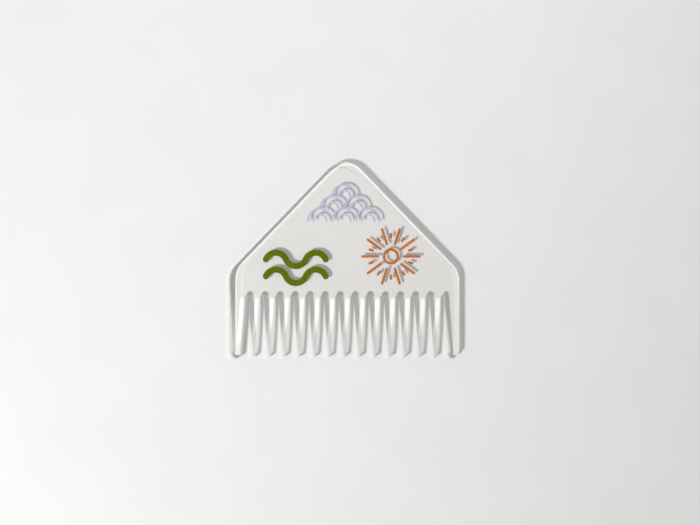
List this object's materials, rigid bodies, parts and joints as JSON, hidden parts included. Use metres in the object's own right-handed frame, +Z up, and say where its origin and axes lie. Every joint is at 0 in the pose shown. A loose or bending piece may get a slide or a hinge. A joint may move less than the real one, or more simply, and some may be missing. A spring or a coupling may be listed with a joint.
{
  "type": "hair comb",
  "caption": "Flat hair comb cut from clear acrylic sheet, house-shaped handle above tapered teeth, with coloured line motifs printed on its top face",
  "frame": {"origin": "middle of the outline's bounding box, on the underside of the sheet", "axes": "+X across the row of teeth, +Y from the tooth tips to the apex, +Z up through the sheet to the printed face"},
  "size_m": [0.09, 0.0768, 0.0031],
  "materials": {
    "clear_acrylic": "polished",
    "lavender_ink": "satin",
    "green_ink": "satin",
    "orange_ink": "satin"
  },
  "bodies": {
    "root": {"comb": "clear_acrylic", "print_arches": "lavender_ink", "print_waves": "green_ink", "print_sun": "orange_ink"}
  },
  "joints": []
}
